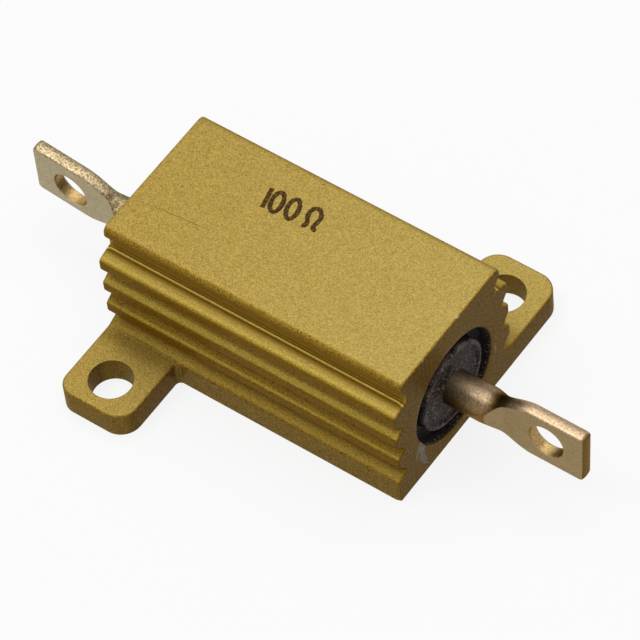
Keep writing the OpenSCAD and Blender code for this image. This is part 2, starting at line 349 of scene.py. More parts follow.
# Tinned copper-clad steel. The press leaves the tab's faces matt and beige. Its edges keep a bright,
# grainy tin, the shank is brown where copper shows through, a band round the neck's crease is darker, and the
# left neck is stained.
PRESS_GRAIN = 0.11
STAIN = 0.7
tinned, tree, shader, place = start_material("tinned_copper_clad_steel")
grain = add(tree, "ShaderNodeTexNoise", {
    "Vector": place.outputs["Object"], "Scale": per_mm(PRESS_GRAIN), "Detail": 3.0, "Roughness": 0.6,
})
stain = add(tree, "ShaderNodeTexNoise", {
    "Vector": place.outputs["Object"], "Scale": per_mm(STAIN), "Detail": 5.0, "Roughness": 0.6,
})
split = add(tree, "ShaderNodeSeparateXYZ", {"Vector": place.outputs["Object"]})
distance = add(tree, "ShaderNodeMath", {0: split.outputs["X"]}, operation="ABSOLUTE")
pressed = add(tree, "ShaderNodeAttribute", attribute_name="pressed")
pierced = add(tree, "ShaderNodeAttribute", attribute_name="pierced")
along = add(tree, "ShaderNodeMapRange", {
    "Value": distance.outputs[0], "From Min": 9.5 * MM, "From Max": 17.9 * MM,
})
# Tone along the terminal: brown shank, a darker band round the neck's crease, beige tab and a darker cut end.
drawn = ramp(tree, along.outputs["Result"], (
    (0.0, "#6b5232"), (0.22, "#8a6d45"), (0.31, "#6f5330"), (0.36, "#33240f"), (0.4, "#4f3d25"),
    (0.45, "#9c8468"), (0.6, "#a89174"), (0.965, "#a89174"), (0.985, "#664e2b"), (1.0, "#664e2b"),
))
# The upper side of the shank near the moulding turns grey: partly a silicone film, partly a painted
# reflection of the grey surroundings.
facing = add(tree, "ShaderNodeSeparateXYZ", {"Vector": place.outputs["Normal"]})
film_and_reflection_mask = add(tree, "ShaderNodeMapRange", {
    "Value": facing.outputs["Z"], "From Min": 0.3, "From Max": 0.95, "To Max": 0.6,
})
bared = add(tree, "ShaderNodeMapRange", {
    "Value": distance.outputs[0], "From Min": 12.3 * MM, "From Max": 11.7 * MM,
})
film_and_reflection = overlap(tree, film_and_reflection_mask, bared)
drawn = add(tree, "ShaderNodeMix", {0: film_and_reflection, 6: drawn.outputs["Color"], 7: linear("#a3937c")},
            data_type="RGBA")
hand = add(tree, "ShaderNodeMapRange", {"Value": split.outputs["X"], "From Min": -1 * MM, "From Max": 1 * MM})
fresh = add(tree, "ShaderNodeMapRange", {"Value": hand.outputs["Result"], "To Min": 0.6, "To Max": 0.0})
drawn = add(tree, "ShaderNodeMix", {0: fresh.outputs["Result"], 6: drawn.outputs[2], 7: linear("#b6a67f")},
            data_type="RGBA")
dull = add(tree, "ShaderNodeMapRange", {"Value": hand.outputs["Result"], "To Min": 0.2, "To Max": 0.62})
glint = add(tree, "ShaderNodeMapRange", {"Value": hand.outputs["Result"], "To Min": 1.13, "To Max": 1.28})
sparkle = add(tree, "ShaderNodeMapRange", {
    "Value": grain.outputs["Fac"], "From Min": 0.32, "From Max": 0.68, "To Min": dull.outputs["Result"],
    "To Max": glint.outputs["Result"],
})
grained = add(tree, "ShaderNodeMix", {0: 1.0, 6: drawn.outputs[2], 7: sparkle.outputs["Result"]},
              data_type="RGBA", blend_type="MULTIPLY")
# The left tab's pressed faces are paler than the right's: partly fresher tin, partly painted shade on the
# right tab, whose faces would reflect floor shaded by the housing.
beige = add(tree, "ShaderNodeMix", {0: hand.outputs["Result"], 6: linear("#b5aa8d"), 7: linear("#a08c68")},
            data_type="RGBA")
cloud = add(tree, "ShaderNodeMapRange", {"Value": stain.outputs["Fac"], "To Min": 0.88, "To Max": 1.12})
face = add(tree, "ShaderNodeMix", {0: 1.0, 6: beige.outputs[2], 7: cloud.outputs["Result"]},
           data_type="RGBA", blend_type="MULTIPLY")
sand = add(tree, "ShaderNodeMapRange", {
    "Value": grain.outputs["Fac"], "From Min": 0.3, "From Max": 0.7, "To Min": 0.82, "To Max": 1.18,
})
face = add(tree, "ShaderNodeMix", {0: 1.0, 6: face.outputs[2], 7: sand.outputs["Result"]},
           data_type="RGBA", blend_type="MULTIPLY")
plated = add(tree, "ShaderNodeMix", {0: pressed.outputs["Fac"], 6: grained.outputs[2], 7: face.outputs[2]},
             data_type="RGBA")
torn = add(tree, "ShaderNodeMix", {0: grain.outputs["Fac"], 6: linear("#4a3414"), 7: linear("#d8b87c")},
           data_type="RGBA")
tint = add(tree, "ShaderNodeMix", {0: pierced.outputs["Fac"], 6: plated.outputs[2], 7: torn.outputs[2]},
           data_type="RGBA")

# Brown stains round the left neck.
for centre, reach in (
    ((-13.05, -0.25, 5.65), (0.4, 0.25, 0.3)),
    ((-12.7, -0.15, 5.25), (0.35, 0.3, 0.35)),
    ((-12.23, -0.35, 5.05), (0.28, 0.4, 0.35)),
    ((-12.0, -0.4, 4.95), (0.2, 0.4, 0.3)),
):
    tint = blemish(tree, place, tint, centre, reach, "#3d290c", strength=0.85)
gloss = add(tree, "ShaderNodeMapRange", {"Value": pressed.outputs["Fac"], "To Min": 0.34, "To Max": 0.62})
relief = add(tree, "ShaderNodeBump", {
    "Height": grain.outputs["Fac"], "Strength": 0.45, "Distance": 0.012 * MM,
})
tree.links.new(tint.outputs[2], shader.inputs["Base Color"])
tree.links.new(gloss.outputs["Result"], shader.inputs["Roughness"])
tree.links.new(relief.outputs["Normal"], shader.inputs["Normal"])
shader.inputs["Metallic"].default_value = 1.0
shader.inputs["Specular Tint"].default_value = linear("#e3d4bb")

terminal_points, terminal_quads, terminal_marks = terminal_mesh()
for side, mirror, degrees, pulled, rise, eye_drop in (
    ("left", -1, 0.3, -0.03, 0.13, 0.2),
    ("right", 1, 3.3, 0, 0, 0),
):
    points = set_terminal(terminal_points, degrees, pulled, rise, eye_drop) * (mirror, 1, 1)
    terminal = new_piece(f"formed_terminal_{side}", points, terminal_quads, tinned, terminal_marks)
    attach(terminal, "root")
    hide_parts(f"terminal_{side}")

# Moulding
# Filled silicone moulded round the element, so that it fills the bore and locks the core in place.
# At each end it shows a lipped disc round the terminal and a sunk, dark ring beside the bore.
MOULD_RADIUS = 3.44
RING_X = 8.825
SKIN_X = 9.46
SKIN_EDGE = 0.02
RING_FILLET = 0.2
DISC_RADIUS = 2.67
DISC_EDGE = 0.1
LIP_WIDTH = 0.3
DISH_DEPTH = 0.15
DISH_FILLET = 0.06
SHANK_FILLET = 0.18
SHRINKAGE = 0.05
RIPPLE = 0.045
TORN_SKIN = 0.015
CAP_RADIUS = 2.5
SKIRT_X = 3.725
WINDING_ROOM = 2.52


def arc(centre, radius, start_deg, end_deg, count):
    """Points at equal angles on a circle: centre + radius * (cos a, sin a)."""
    angle = np.radians(np.linspace(start_deg, end_deg, count))
    return np.stack([centre[0] + radius * np.cos(angle), centre[1] + radius * np.sin(angle)], -1)


def ripple(angle, along, seed):
    """Uneven height from -1 to 1: a sum of waves round and along the surface, with fixed phases."""
    waves = np.array([3, 5, 8, 13, 21, 34])[:, None, None]
    phase = seed * 1.7 + waves * 0.61
    heights = np.sin(waves * angle + phase) * np.cos(waves * along * 0.9 + 2.3 * phase) / np.sqrt(waves)
    return heights.sum(0) / 1.6


def closed_grid(rows, columns):
    """Quads of a grid of points whose last row joins its first, and whose last column joins its first."""
    index = np.arange(rows * columns).reshape(rows, columns)
    return strip_quads(np.concatenate([index, index[:1]]), closed=True)


def moulding_mesh():
    """Closed outline in (x, r) turned round the bore's axis: y = r cos(a), z = r sin(a). Ripples move the
    end faces along x and the disc's edge along r by a few hundredths of a millimetre."""
    lip_in = DISC_RADIUS - LIP_WIDTH
    half = np.concatenate([
        [[0.0, MOULD_RADIUS], [4.0, MOULD_RADIUS], [8.0, MOULD_RADIUS], [9.0, MOULD_RADIUS]],
        arc((SKIN_X - SKIN_EDGE, MOULD_RADIUS - SKIN_EDGE), SKIN_EDGE, 90, -80, 6),
        [[9.3, MOULD_RADIUS - 0.05], [9.1, MOULD_RADIUS - 0.06]],
        arc((RING_X + RING_FILLET, MOULD_RADIUS - 0.29), RING_FILLET, 80, 180, 7),
        np.stack([np.full(6, RING_X), np.linspace(3.05, DISC_RADIUS + 0.14, 6)], -1),
        arc((RING_X + DISC_EDGE, DISC_RADIUS + DISC_EDGE), DISC_EDGE, 200, 270, 4),
        arc((END_X - DISC_EDGE, DISC_RADIUS - DISC_EDGE), DISC_EDGE, 90, 0, 7),
        arc((END_X - DISC_EDGE, lip_in + DISC_EDGE), DISC_EDGE, 0, -80, 6),
        arc((END_X - DISH_DEPTH + DISH_FILLET, lip_in - 0.07), DISH_FILLET, 100, 180, 5),
        np.stack([np.full(16, END_X - DISH_DEPTH), np.linspace(2.25, SHANK_RADIUS + 0.22, 16)], -1),
        arc((END_X - DISH_DEPTH + SHANK_FILLET, SHANK_RADIUS + 0.16), SHANK_FILLET, 190, 270, 6),
        [[8.6, SHANK_RADIUS - 0.01], [CAP_FACE_X, SHANK_RADIUS - 0.01], [CAP_FACE_X, CAP_RADIUS],
         [SKIRT_X, CAP_RADIUS], [SKIRT_X, WINDING_ROOM]],
    ])
    outline = np.concatenate([half, half[:0:-1] * (-1, 1)])
    angle = np.linspace(0, 2 * np.pi, 181)[:-1]
    x = np.broadcast_to(outline[:, :1], (len(outline), angle.size))
    r = np.broadcast_to(outline[:, 1:], x.shape)
    edge = smooth_step(2.2, 2.5, r) * smooth_step(3.0, 2.8, r) * smooth_step(RING_X, RING_X + 0.2, np.abs(x))
    r = r + RIPPLE * edge * ripple(angle, 0.4 * np.sign(x), 2.0)
    shown = smooth_step(RING_X - 0.6, RING_X, np.abs(x)) * smooth_step(SHANK_RADIUS, SHANK_RADIUS + 0.3, r)
    shown = shown * smooth_step(MOULD_RADIUS, MOULD_RADIUS - 0.15, r)
    wave = ripple(angle, 2.2 * r, 1 + np.sign(x))
    torn = smooth_step(MOULD_RADIUS - 0.08, MOULD_RADIUS - 0.04, r) * smooth_step(9.2, SKIN_X, np.abs(x))
    x = x - np.sign(x) * (shown * (SHRINKAGE + RIPPLE * wave) + torn * TORN_SKIN * (1 + wave))
    y = r * np.cos(angle)
    z = AXIS_Z + r * np.sin(angle)
    return np.stack([x, y, z], -1).reshape(-1, 3), closed_grid(*x.shape)


FLASH_EDGES = (
    ((-3.24, 3.12), (-3.36, 2.95), (-3.42, 2.6), (-3.36, 2.26), (-3.4, 1.9), (-3.36, 1.4), (-3.2, 1.02),
     (-2.98, 0.75)),
    ((-2.9, 2.2), (-2.94, 2.14), (-2.93, 1.95), (-2.98, 1.8), (-2.89, 1.4), (-2.83, 1.05), (-2.74, 0.58),
     (-2.69, 0.42)),
)
STRAND_EDGES = (
    ((-3.42, 2.9), (-3.52, 2.7), (-3.64, 2.42), (-3.76, 2.1), (-3.86, 1.86)),
    ((-3.28, 2.8), (-3.36, 2.55), (-3.5, 2.26), (-3.66, 1.98), (-3.8, 1.8)),
)
FLASH_THICKNESS = 0.05
FLASH_FOOT = 0.012
FLASH_GROWTH = 0.14333


def flash_mesh(edges):
    """Torn film on the right end face as a closed shell. Its rows run from one edge [y, z] to the other. Its
    height above the face is thickness * sqrt(sin(pi * share across)), with ripples, and grows along it."""
    edges = np.array(edges)
    corner = np.arange(edges.shape[1])
    row = np.linspace(0, corner[-1], 61)
    left, right = (np.stack([np.interp(row, corner, edge[:, i]) for i in (0, 1)], -1) for edge in edges)
    across = np.linspace(0, 1, 17)
    fray = (0.06 * np.sin(row * 3.1) + 0.05 * np.sin(row * 7.3 + 1)) * np.linalg.norm(right - left, axis=1)
    plan = left[:, None] * (1 - across[:, None]) + right[:, None] * across[:, None]
    plan[..., 0] += fray[:, None] * (2 * across - 1)
    row = row[:, None]
    wave = 0.6 + 0.25 * np.sin(row * 2.1) * np.cos(across * 9) + 0.15 * np.sin(row * 5.2 + 2)
    height = FLASH_THICKNESS * np.sqrt(np.sin(np.pi * across)) * wave * np.sin(row * FLASH_GROWTH + 0.35)
    upper = np.concatenate([END_X + height[..., None], plan], -1)
    lower = np.concatenate([np.full((*plan.shape[:2], 1), END_X - FLASH_FOOT), plan], -1)
    index = np.arange(upper.size // 3).reshape(upper.shape[:2])
    under = index + index.size
    border = np.concatenate([index[0], index[1:, -1], index[-1, -2::-1], index[-2:0:-1, 0]])
    rim = strip_quads(np.stack([border, border + index.size]), closed=True)
    quads = np.concatenate([strip_quads(index), strip_quads(under[:, ::-1]), rim])
    return np.concatenate([upper.reshape(-1, 3), lower.reshape(-1, 3)]), quads


def from_axis(tree, place):
    """Distance of each point from the bore's axis: the length of (0, y, z - the axis's height)."""
    across = add(tree, "ShaderNodeMapping", {
        "Vector": place.outputs["Object"], "Location": (0, 0, -AXIS_Z * MM), "Scale": (0, 1, 1),
    })
    return add(tree, "ShaderNodeVectorMath", {0: across.outputs["Vector"]}, operation="LENGTH")


# Filled silicone: near black and dull. Lumps of filler show as pale grains, and a bloom of powder
# lies on the disc and its lip.
FILLER = 0.17
BLOOM = 0.7
silicone, tree, shader, place = start_material("filled_silicone")
lumps = add(tree, "ShaderNodeTexNoise", {
    "Vector": place.outputs["Object"], "Scale": per_mm(FILLER), "Detail": 4.0, "Roughness": 0.7,
})
bloom = add(tree, "ShaderNodeTexNoise", {
    "Vector": place.outputs["Object"], "Scale": per_mm(BLOOM), "Detail": 6.0, "Roughness": 0.7,
})
split = add(tree, "ShaderNodeSeparateXYZ", {"Vector": place.outputs["Object"]})
distance = add(tree, "ShaderNodeMath", {0: split.outputs["X"]}, operation="ABSOLUTE")
raised = add(tree, "ShaderNodeMapRange", {
    "Value": distance.outputs[0], "From Min": 9.1 * MM, "From Max": 9.4 * MM,
})
radius = from_axis(tree, place)
inside = add(tree, "ShaderNodeMapRange", {
    "Value": radius.outputs["Value"], "From Min": (DISC_RADIUS + 0.18) * MM,
    "From Max": (DISC_RADIUS + 0.03) * MM,
})
lip = add(tree, "ShaderNodeMapRange", {
    "Value": radius.outputs["Value"], "From Min": (DISC_RADIUS - 0.37) * MM,
    "From Max": (DISC_RADIUS - 0.12) * MM, "To Min": 0.3, "To Max": 0.65,
})
dusty = add(tree, "ShaderNodeMapRange", {"Value": bloom.outputs["Fac"], "From Min": 0.47, "From Max": 0.6})
grains = add(tree, "ShaderNodeMapRange", {"Value": lumps.outputs["Fac"], "From Min": 0.54, "From Max": 0.63})
powder = overlap(tree, dusty, lip, raised, inside)
shown = overlap(tree, grains, raised)
black = add(tree, "ShaderNodeMix", {0: shown, 6: linear("#1d1512"), 7: linear("#ab9a90")}, data_type="RGBA")
powdered = add(tree, "ShaderNodeMix", {0: powder, 6: black.outputs[2], 7: linear("#8c7c73")},
               data_type="RGBA")
flash = add(tree, "ShaderNodeAttribute", attribute_name="flash")
thinned = add(tree, "ShaderNodeMix", {0: bloom.outputs["Fac"], 6: linear("#88776a"), 7: linear("#c4b6aa")},
              data_type="RGBA")
tint = add(tree, "ShaderNodeMix", {0: flash.outputs["Fac"], 6: powdered.outputs[2], 7: thinned.outputs[2]},
           data_type="RGBA")

# Scrapes and crumbs of powder on the right disc and in its ring.
for centre, reach, code, strength in (
    ((8.85, -2.3, 2.72), (0.4, 0.5, 0.08), "#8d847f", 0.85),
    ((9.38, -1.72, 4.1), (0.2, 0.12, 0.3), "#8a827d", 0.7),
    ((9.38, -1.45, 3.3), (0.2, 0.09, 0.3), "#857d78", 0.7),
    ((9.38, -0.4, 4.95), (0.2, 0.12, 0.12), "#a3927c", 0.8),
    ((9.4, -0.65, 6.3), (0.2, 0.1, 0.24), "#8f8680", 0.7),
    ((9.4, 0.1, 6.65), (0.2, 0.09, 0.3), "#8a817c", 0.7),
    ((9.38, -2.15, 5.4), (0.2, 0.1, 0.16), "#7d7571", 0.7),
    ((9.3, 0.6, 4.0), (0.4, 0.9, 0.55), "#1f1916", 0.6),
):
    tint = blemish(tree, place, tint, centre, reach, code, strength=strength)
relief = add(tree, "ShaderNodeBump", {"Height": lumps.outputs["Fac"], "Strength": 0.9, "Distance": 0.1 * MM})
tree.links.new(tint.outputs[2], shader.inputs["Base Color"])
tree.links.new(relief.outputs["Normal"], shader.inputs["Normal"])
shader.inputs["Roughness"].default_value = 0.6
shader.inputs["Specular IOR Level"].default_value = 0.15

shells = [moulding_mesh(), flash_mesh(FLASH_EDGES), flash_mesh(STRAND_EDGES)]
flash_mark = np.repeat([0, 1, 1], [len(points) for points, quads in shells])
moulding = new_piece("silicone_moulding", *joined(shells), silicone, {"flash": flash_mark})
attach(moulding, "root")
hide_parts("encapsulant")

# Housing
# An aluminium extrusion with fins, cut to length, milled to leave an ear on two corners and drilled.
# It is then etched matt and anodised gold, which leaves its cut edges slightly rounded.
GROOVE_Y = 4.55
TIP_Y = 5.2
NECK_Y = 4.15
TOP_Y = 4.49
FAR_TOP = 0.09
BASE_Y = 5.335
TOP_Z = 9.49
TOP_SIDE_Z = 8.8
NECK_Z = 7.75
NECK_WALL_Z = 8.25
FIN_FROM_Z = 2.2
FIN_FALLS = (0.42, 0.42, 0.3)
FIN_EDGES = (0.14, 0.16, 0.33)
FIN_PITCH = (NECK_Z - FIN_FROM_Z) / len(FIN_FALLS)
FIN_UNDERSIDE = 0.83
FIN_UNDER_EDGE = 0.26
GROOVE_ROOT = 0.12
NECK_ROOT = 0.02
NECK_TOP = 0.14
TOP_UNDER_EDGE = 0.18
TOP_EDGE = 0.45
FLANGE_EDGE_Z = 1.68
FLANGE_ROOT_Z = 2.05
FLANGE_FALL = (FLANGE_ROOT_Z - FLANGE_EDGE_Z) / (BASE_Y - GROOVE_Y)
FLANGE_EDGE = 0.15
FLANGE_ROOT = 0.1
BASE_EDGE = 0.04
BASE_CORNER = 0.2
BEAD_OUT = (0.31, 0.235, 0.165, 0.11)
BEAD_HEIGHT = 0.15
BEAD_EDGE = 0.03
BEAD_END_HEIGHT = 0.004
BEAD_END_EDGE = 0.16
BEAD_RUNOUT = 0.3
END_EDGE_LOW = 0.03
END_EDGE_HIGH = 0.14
BORE_RADIUS = 3.45
BORE_EDGE = 0.06
BEARING_EASE = 0.1
CRISP_DEG = 22


def unit(vectors):
    """Vectors scaled to length 1."""
    return vectors / np.linalg.norm(vectors, axis=-1, keepdims=True)


def rounded_loop(corners, radii, count, between):
    """Closed outline with an arc in each corner and points along each side, and the outward normal at each
    point. An arc's centre lies on the bisector, radius / sin(half the angle) from the corner."""
    back = unit(np.roll(corners, 1, axis=0) - corners)
    ahead = unit(np.roll(corners, -1, axis=0) - corners)
    half = np.arccos((back * ahead).sum(-1)) / 2
    way = np.sign(back[:, 1] * ahead[:, 0] - back[:, 0] * ahead[:, 1])
    centre = corners + unit(back + ahead) * (radii / np.sin(half))[:, None]
    first = unit(corners + back * (radii / np.tan(half))[:, None] - centre)
    angle = (way * (np.pi - 2 * half))[:, None] * np.linspace(0, 1, count)
    cos, sin = np.cos(angle), np.sin(angle)
    spoke = np.stack([first[:, :1] * cos - first[:, 1:] * sin, first[:, :1] * sin + first[:, 1:] * cos], -1)
    curve = centre[:, None] + spoke * radii[:, None, None]
    share = np.linspace(0, 1, between + 2)[1:-1, None]
    straight = curve[:, -1:] * (1 - share) + np.roll(curve[:, :1], -1, axis=0) * share
    normal = spoke * way[:, None, None]
    normal = np.concatenate([normal, np.broadcast_to(normal[:, -1:], straight.shape)], 1)
    return np.concatenate([curve, straight], 1).reshape(-1, 2), normal.reshape(-1, 2)


def housing_section(bead, bead_edge, base_edge):
    """Section of the extrusion from its corners [y, z, radius], up the far side and down the near, with a
    bead of that height along each upper fin. The top overhangs the far side a little further."""
    side = [
        (BASE_Y, 0, base_edge),
        (BASE_Y, FLANGE_EDGE_Z, FLANGE_EDGE),
        (GROOVE_Y, FLANGE_ROOT_Z, FLANGE_ROOT),
    ]
    for fin, (fall, tip_edge) in enumerate(zip(FIN_FALLS, FIN_EDGES)):
        foot = FIN_FROM_Z + fin * FIN_PITCH
        side += [
            (GROOVE_Y, foot, GROOVE_ROOT),
            (TIP_Y, foot + FIN_UNDERSIDE, FIN_UNDER_EDGE),
            (TIP_Y, foot + FIN_PITCH - fall, tip_edge),
        ]
    slope = FIN_FALLS[-1] / (TIP_Y - NECK_Y)
    for out, rise in zip(BEAD_OUT, (0, bead, bead, 0)):
        side.append((NECK_Y + out, NECK_Z - out * slope + rise, bead_edge))
    side += [
        (NECK_Y, NECK_Z, NECK_ROOT),
        (NECK_Y, NECK_WALL_Z, NECK_TOP),
        (TOP_Y, TOP_SIDE_Z, TOP_UNDER_EDGE),
        (TOP_Y, TOP_Z, TOP_EDGE),
    ]
    side = np.array(side)
    corners = np.concatenate([side, side[::-1] * (-1, 1, 1)])
    corners[len(side) - 2:len(side), 0] += FAR_TOP
    return rounded_loop(corners[:, :2], corners[:, 2], 7, 9)


def housing_mesh():
    """Extruded body as one closed grid. Its outer rings are the section at each x, drawn in along the normals
    round the cut ends. The end faces run from the section to the bore, and the bore joins them."""
    beaded = housing_section(BEAD_HEIGHT, BEAD_EDGE, BASE_EDGE)[0]
    plain, plain_normal = housing_section(BEAD_END_HEIGHT, BEAD_END_EDGE, BASE_CORNER)
    edge = END_EDGE_LOW + (END_EDGE_HIGH - END_EDGE_LOW) * smooth_step(0, BASE_CORNER, plain[:, 1])
    turn = np.radians(np.linspace(0, 90, 8))[:, None]
    edge_x = END_X - edge * (1 - np.sin(turn))
    edge_ring = plain - (edge * (1 - np.cos(turn)))[..., None] * plain_normal
    middle_x = np.linspace(BEAD_RUNOUT - END_X, END_X - BEAD_RUNOUT, 13)[:, None] + np.zeros(len(plain))
    middle_ring = np.broadcast_to(beaded, (len(middle_x), *beaded.shape))
    along = np.cumsum(np.linalg.norm(plain - np.roll(plain, 1, axis=0), axis=1))
    even = 2 * np.pi * (along - along[0] + plain[0, 0]) / along[-1] - np.pi / 2
    bearing = even - BEARING_EASE * np.cos(even) * (1 - np.sin(even)) / 2
    bore = np.stack([np.cos(bearing), np.sin(bearing)], -1)
    lead = np.radians(np.linspace(0, 90, 5))[:, None, None]
    lead_ring = (0, AXIS_Z) + bore * (BORE_RADIUS + BORE_EDGE * (1 - np.sin(lead)))
    lead_x = END_X - BORE_EDGE * (1 - np.cos(lead[..., 0])) + np.zeros(len(plain))
    share = np.array([0.04, 0.3, 0.65])[:, None, None]
    face_ring = edge_ring[-1] * (1 - share) + lead_ring[0] * share
    face_x = np.full(face_ring.shape[:2], END_X)
    right_x = np.concatenate([edge_x, face_x, lead_x])
    right_ring = np.concatenate([edge_ring, face_ring, lead_ring])
    x = np.concatenate([middle_x, right_x, -right_x[::-1]])
    rings = np.concatenate([middle_ring, right_ring, right_ring[::-1]])
    return np.concatenate([x[..., None], rings], -1).reshape(-1, 3), closed_grid(*x.shape)


HOLE_RADIUS = 1.23
HOLE_EDGE = 0.05
EAR_X = 4.94
EAR_Y = 10.05
EAR_Z = 1.72
EAR_FOOT_Y = 4.3
EAR_SEAT = 0.002
EAR_SEAT_Y = 5.0
EAR_CORNER = 1.25
EAR_FOOT_CORNER = 0.25
EAR_HOLLOW = 0.04
EAR_SINK = 0.2


def ear_top(y):
    """Height of the ear at y: the larger of the ear's level and the flange's slope, with a hollow between.
    Beyond the hollow it sinks into the flange."""
    slope = (BASE_Y - y) * FLANGE_FALL + FLANGE_EDGE_Z - EAR_Z
    rise = 0.5 * (slope + np.sqrt(slope ** 2 + EAR_HOLLOW ** 2))
    return EAR_Z + rise - EAR_SINK * smooth_step(TIP_Y, TIP_Y - 0.3, y)


def ear_mesh(hole, end_corner):
    """Ear at the right far corner as one closed grid round its hole: up the outer wall, over the rounded
    edge, across the top to the hole, down the hole and back under the base."""
    end = END_X - EAR_SEAT
    corners = np.array([
        (end - 0.4, EAR_FOOT_Y, EAR_FOOT_CORNER),
        (end, EAR_SEAT_Y, EAR_FOOT_CORNER),
        (end, EAR_Y, end_corner),
        (EAR_X, EAR_Y, EAR_CORNER),
        (EAR_X, EAR_FOOT_Y, EAR_FOOT_CORNER),
    ])
    outline, outward = rounded_loop(corners[:, :2], corners[:, 2], 15, 24)
    from_hole = unit(outline - hole)
    turn = np.radians(np.linspace(0, 90, 8))[:, None, None]
    base = outline - outward * BASE_EDGE * (1 - np.sin(turn))
    base_z = BASE_EDGE * (1 - np.cos(turn))
    top = outline - outward * FLANGE_EDGE * (1 - np.cos(turn))
    top_drop = FLANGE_EDGE * (1 - np.sin(turn))
    rim = hole + from_hole * (HOLE_RADIUS + HOLE_EDGE * (1 - np.sin(turn)))
    rim_drop = HOLE_EDGE * (1 - np.cos(turn))
    share = np.linspace(0, 1, 26)[1:-1, None, None]
    deck = top[-1] * (1 - share) + rim[0] * share
    under = rim[0] * (1 - share[::3]) + base[0] * share[::3]
    plan = np.concatenate([base, top, deck, rim, rim[::-1], under])
    z = np.concatenate([
        np.broadcast_to(base_z[:, :, 0], base.shape[:2]),
        ear_top(top[..., 1]) - top_drop[:, :, 0],
        ear_top(deck[..., 1]),
        ear_top(rim[..., 1]) - rim_drop[:, :, 0],
        np.broadcast_to(rim_drop[::-1, :, 0], rim.shape[:2]),
        np.zeros(under.shape[:2]),
    ])
    return np.concatenate([plan, z[..., None]], -1).reshape(-1, 3), closed_grid(*z.shape)


ROOT_RADIUS = 0.35
ROOT_DEPTH = 0.3
ROOT_DROP = 0.012
ROOT_TUCK = 1.003
ROOT_POINTS = 13


def root_mesh():
    """Fillet that fills the corner between the ear and the flange: a band in plan from a hollow arc to a
    square corner inside both. Its upper edge is rounded like theirs, and it ends just under their tops."""
    centre = np.array([EAR_X - ROOT_RADIUS, BASE_Y + ROOT_RADIUS])
    turn = np.radians(np.linspace(0, 90, 8))
    inset = np.concatenate([[BASE_EDGE, 0], FLANGE_EDGE * (1 - np.cos(turn))])[:, None, None]
    height = np.concatenate([[0, BASE_EDGE], EAR_Z - ROOT_DROP - FLANGE_EDGE * (1 - np.sin(turn))])
    hollow = centre + (ROOT_TUCK * ROOT_RADIUS + inset) * arc((0, 0), 1, 0, -90, ROOT_POINTS)
    inside = np.array([EAR_X + ROOT_DEPTH, BASE_Y - ROOT_DEPTH])
    share = np.linspace(0, 1, ROOT_POINTS)
    square_x = np.interp(share, (0, 0.5, 1), (inside[0], inside[0], centre[0]))
    square_y = np.interp(share, (0, 0.5, 1), (centre[1], inside[1], inside[1]))
    square = np.stack([square_x, square_y], -1)
    rows = len(height)
    plan = np.concatenate([hollow, np.broadcast_to(square, hollow.shape)])
    z = np.concatenate([height, height[::-1]])[:, None, None] + np.zeros((1, ROOT_POINTS, 1))
    index = np.arange(2 * rows * ROOT_POINTS).reshape(2 * rows, ROOT_POINTS)
    walls = strip_quads(np.concatenate([index, index[:1]]))
    caps = [strip_quads(np.stack([index[:rows, end], index[:rows - 1:-1, end]])) for end in (0, -1)]
    return np.concatenate([plan, z], -1).reshape(-1, 3), np.concatenate([walls, *caps])


# Etched and anodised aluminium: a dyed gold oxide over a sandy etch. Its satin sheen is painted into the
# colour by the way each face turns:
# walls and grooves take a deep tone (painted shade) and faces that turn up a pale one (painted light). The
# sawn ends are browner, partly their own tone and partly painted shade. Faces that look up are paler still,
# partly dust and partly painted light from above. Painted shade darkens the faces that turn up low down,
# painted bands of light and shade run across the neck and the bead, and the tips of the fins are brighter,
# partly rubbed and partly a painted highlight. The etch is drawn coarser than it is, so that it shows.
ETCH_GRAIN = 0.068
MOTTLE = 1.6
BLOTCH = 0.17
gold, tree, shader, place = start_material("gold_anodised_aluminium")
grain = add(tree, "ShaderNodeTexNoise", {
    "Vector": place.outputs["Object"], "Scale": per_mm(ETCH_GRAIN), "Detail": 2.0, "Roughness": 0.6,
})
mottle = add(tree, "ShaderNodeTexNoise", {
    "Vector": place.outputs["Object"], "Scale": per_mm(MOTTLE), "Detail": 6.0, "Roughness": 0.65,
})
split = add(tree, "ShaderNodeSeparateXYZ", {"Vector": place.outputs["Object"]})
sideways = add(tree, "ShaderNodeMath", {0: split.outputs["Y"]}, operation="ABSOLUTE")
facing = add(tree, "ShaderNodeSeparateXYZ", {"Vector": place.outputs["Normal"]})
lengthways = add(tree, "ShaderNodeMath", {0: facing.outputs["X"]}, operation="ABSOLUTE")
# Faces that look along x: the sawn ends, whose browner tone is partly their own and partly painted shade.
sawn_and_shaded = add(tree, "ShaderNodeMapRange", {"Value": lengthways.outputs[0], "From Min": 0.75, "From Max": 0.97},
           interpolation_type="SMOOTHSTEP")
speckle = add(tree, "ShaderNodeMapRange", {"Value": grain.outputs["Fac"], "From Min": 0.34, "From Max": 0.66})
drawn, milled, bright, dust_and_top_light_tone, burnished_and_highlit = (
    add(tree, "ShaderNodeMix", {0: speckle.outputs["Result"], 6: linear(dark), 7: linear(light)},
        data_type="RGBA")
    for dark, light in (("#75530b", "#a87f1e"), ("#6b5014", "#bc994c"), ("#735610", "#c6a245"),
                        ("#ad984f", "#ccb770"), ("#a98f36", "#d3b958"))
)
outer = add(tree, "ShaderNodeMapRange", {
    "Value": sideways.outputs[0], "From Min": (BASE_Y - 0.075) * MM, "From Max": (BASE_Y - 0.015) * MM,
})
wall = add(tree, "ShaderNodeMix", {0: outer.outputs["Result"], 6: drawn.outputs[2], 7: milled.outputs[2]},
           data_type="RGBA")
